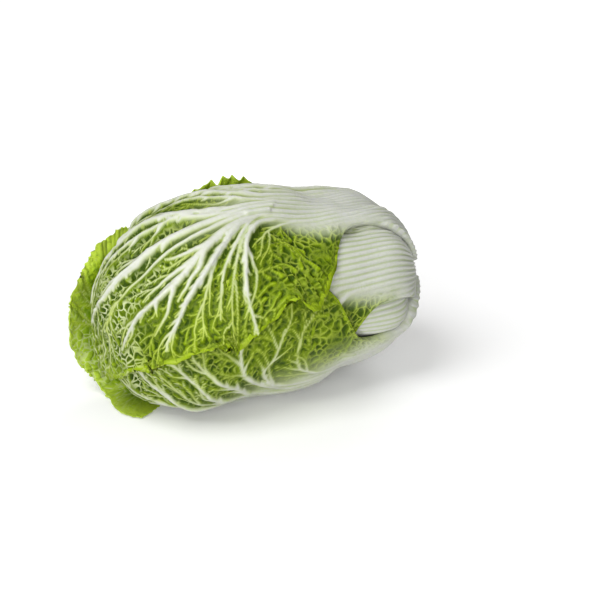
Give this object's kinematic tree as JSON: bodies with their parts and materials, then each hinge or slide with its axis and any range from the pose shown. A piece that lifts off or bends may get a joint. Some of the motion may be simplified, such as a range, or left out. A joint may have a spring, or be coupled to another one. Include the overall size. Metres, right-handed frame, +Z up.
{
  "type": "napa cabbage",
  "caption": "Whole napa cabbage lying on its side: crumpled green leaves with white ribs, wrapped over one another round a cut stem, with paler leaves inside.",
  "frame": {"origin": "on the surface that the head lies on, under the middle of its bounding box", "axes": "+Z up; the head's axis lies along X, with the cut stem towards +X and the leaf tips towards -X"},
  "size_m": [0.2732, 0.1726, 0.1628],
  "materials": {
    "outer_leaf": "satin",
    "heart_leaf": "satin",
    "stem": "matte"
  },
  "bodies": {
    "root": {"leaf_01": "outer_leaf", "leaf_02": "outer_leaf", "leaf_03": "outer_leaf", "leaf_04": "outer_leaf", "leaf_05": "outer_leaf", "leaf_06": "outer_leaf", "leaf_07": "outer_leaf", "leaf_08": "outer_leaf", "leaf_09": "heart_leaf", "leaf_10": "heart_leaf", "leaf_11": "heart_leaf", "leaf_12": "heart_leaf", "leaf_13": "heart_leaf", "leaf_14": "heart_leaf", "leaf_15": "heart_leaf", "leaf_16": "heart_leaf", "leaf_17": "heart_leaf", "leaf_18": "heart_leaf", "leaf_19": "heart_leaf", "leaf_20": "heart_leaf", "leaf_21": "heart_leaf", "leaf_22": "heart_leaf", "stem": "stem"}
  },
  "joints": []
}
